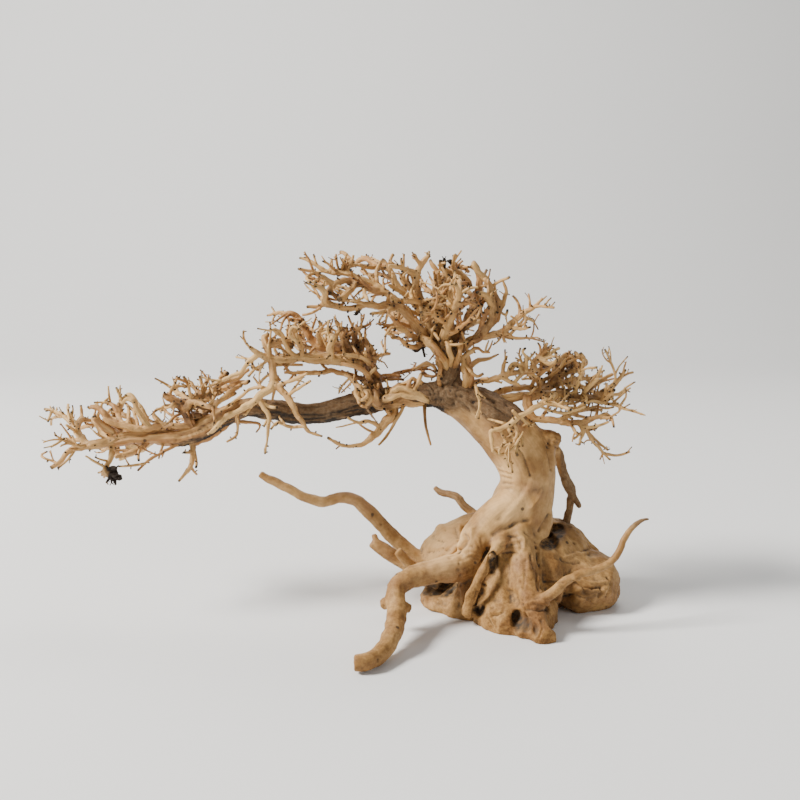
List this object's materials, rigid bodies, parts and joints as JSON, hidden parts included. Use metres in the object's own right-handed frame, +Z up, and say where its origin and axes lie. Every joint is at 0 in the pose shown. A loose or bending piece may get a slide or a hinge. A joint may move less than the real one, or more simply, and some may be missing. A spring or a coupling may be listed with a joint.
{
  "type": "driftwood",
  "caption": "Bonsai-shaped aquarium driftwood: a leaning trunk on a spreading root burl, a long low bough and flat pads of bare twigs.",
  "frame": {"origin": "on the sawn underside of the burl, below the trunk's foot", "axes": "+Z up; the long low bough reaches towards -X and the front, as it is shown, faces -Y"},
  "size_m": [0.3742, 0.1786, 0.2248],
  "materials": {
    "smooth_tan_wood": "smooth weathered tan wood with pits, fine wrinkles and dark hollows",
    "orange_twig_wood": "matte orange-tan twigs with small dark knots and dark broken tips",
    "grey_bark_wood": "dull grey-brown wood with black cracks underneath"
  },
  "bodies": {
    "root": {"bough_left": "grey_bark_wood", "bough_tip_back": "orange_twig_wood", "bough_tip_drop": "orange_twig_wood", "bough_tip_low": "orange_twig_wood", "bough_tip_top": "orange_twig_wood", "bough_tip_up": "orange_twig_wood", "crown_back": "orange_twig_wood", "crown_back_left": "orange_twig_wood", "crown_centre": "orange_twig_wood", "crown_fan": "orange_twig_wood", "crown_front": "orange_twig_wood", "crown_low_left": "orange_twig_wood", "crown_middle": "orange_twig_wood", "crown_right": "orange_twig_wood", "crown_right_edge": "orange_twig_wood", "crown_stem": "orange_twig_wood", "crown_top_left": "orange_twig_wood", "crown_up_left": "orange_twig_wood", "fork_legs": "orange_twig_wood", "knot_limb": "orange_twig_wood", "knot_limb_back": "orange_twig_wood", "loop_limb": "orange_twig_wood", "pad_back_limb": "orange_twig_wood", "pad_link": "orange_twig_wood", "pad_long_limb": "orange_twig_wood", "pad_stem": "orange_twig_wood", "right_back_limb": "orange_twig_wood", "right_front_limb": "orange_twig_wood", "right_light_limb": "orange_twig_wood", "right_lower_limb": "orange_twig_wood", "right_main_limb": "orange_twig_wood", "right_upper_limb": "orange_twig_wood", "root_back": "smooth_tan_wood", "root_far_left": "smooth_tan_wood", "root_front_left": "smooth_tan_wood", "root_hanging_right": "smooth_tan_wood", "root_right_front": "smooth_tan_wood", "root_stub_left": "smooth_tan_wood", "trunk": "smooth_tan_wood", "twig_drop": "orange_twig_wood", "twig_under": "orange_twig_wood", "twig_under_tip": "orange_twig_wood"}
  },
  "joints": []
}
